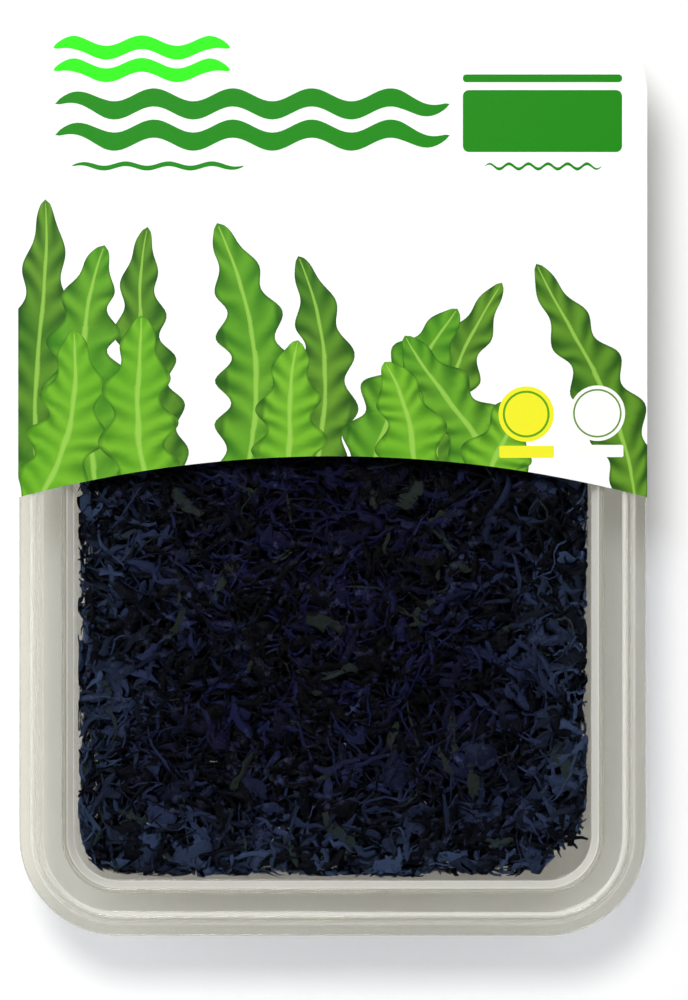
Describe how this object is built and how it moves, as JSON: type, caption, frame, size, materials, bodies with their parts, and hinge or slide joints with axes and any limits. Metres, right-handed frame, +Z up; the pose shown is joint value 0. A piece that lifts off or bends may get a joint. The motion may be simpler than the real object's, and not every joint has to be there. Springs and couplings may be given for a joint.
{
  "type": "pack of dried wakame",
  "caption": "Clear plastic tray with a press-on lid and a printed card over its upper half, filled with dried, cut shreds of dark seaweed.",
  "frame": {"origin": "middle of the pack's outline, in the plane that the tray's foot stands on", "axes": "+Z up out of the lid, +Y towards the end that the card covers, +X to the right as the card is read"},
  "size_m": [0.145, 0.217, 0.0325],
  "materials": {
    "clear_plastic": "clear, glossy thermoformed sheet with a faint haze",
    "printed_card": "smooth white card with a satin print in greens",
    "dried_seaweed": "wrinkled, blue-black, half-matte dried seaweed"
  },
  "bodies": {
    "root": {"tray": "clear_plastic", "lid": "clear_plastic", "card": "printed_card", "dried_wakame": "dried_seaweed"}
  },
  "joints": []
}
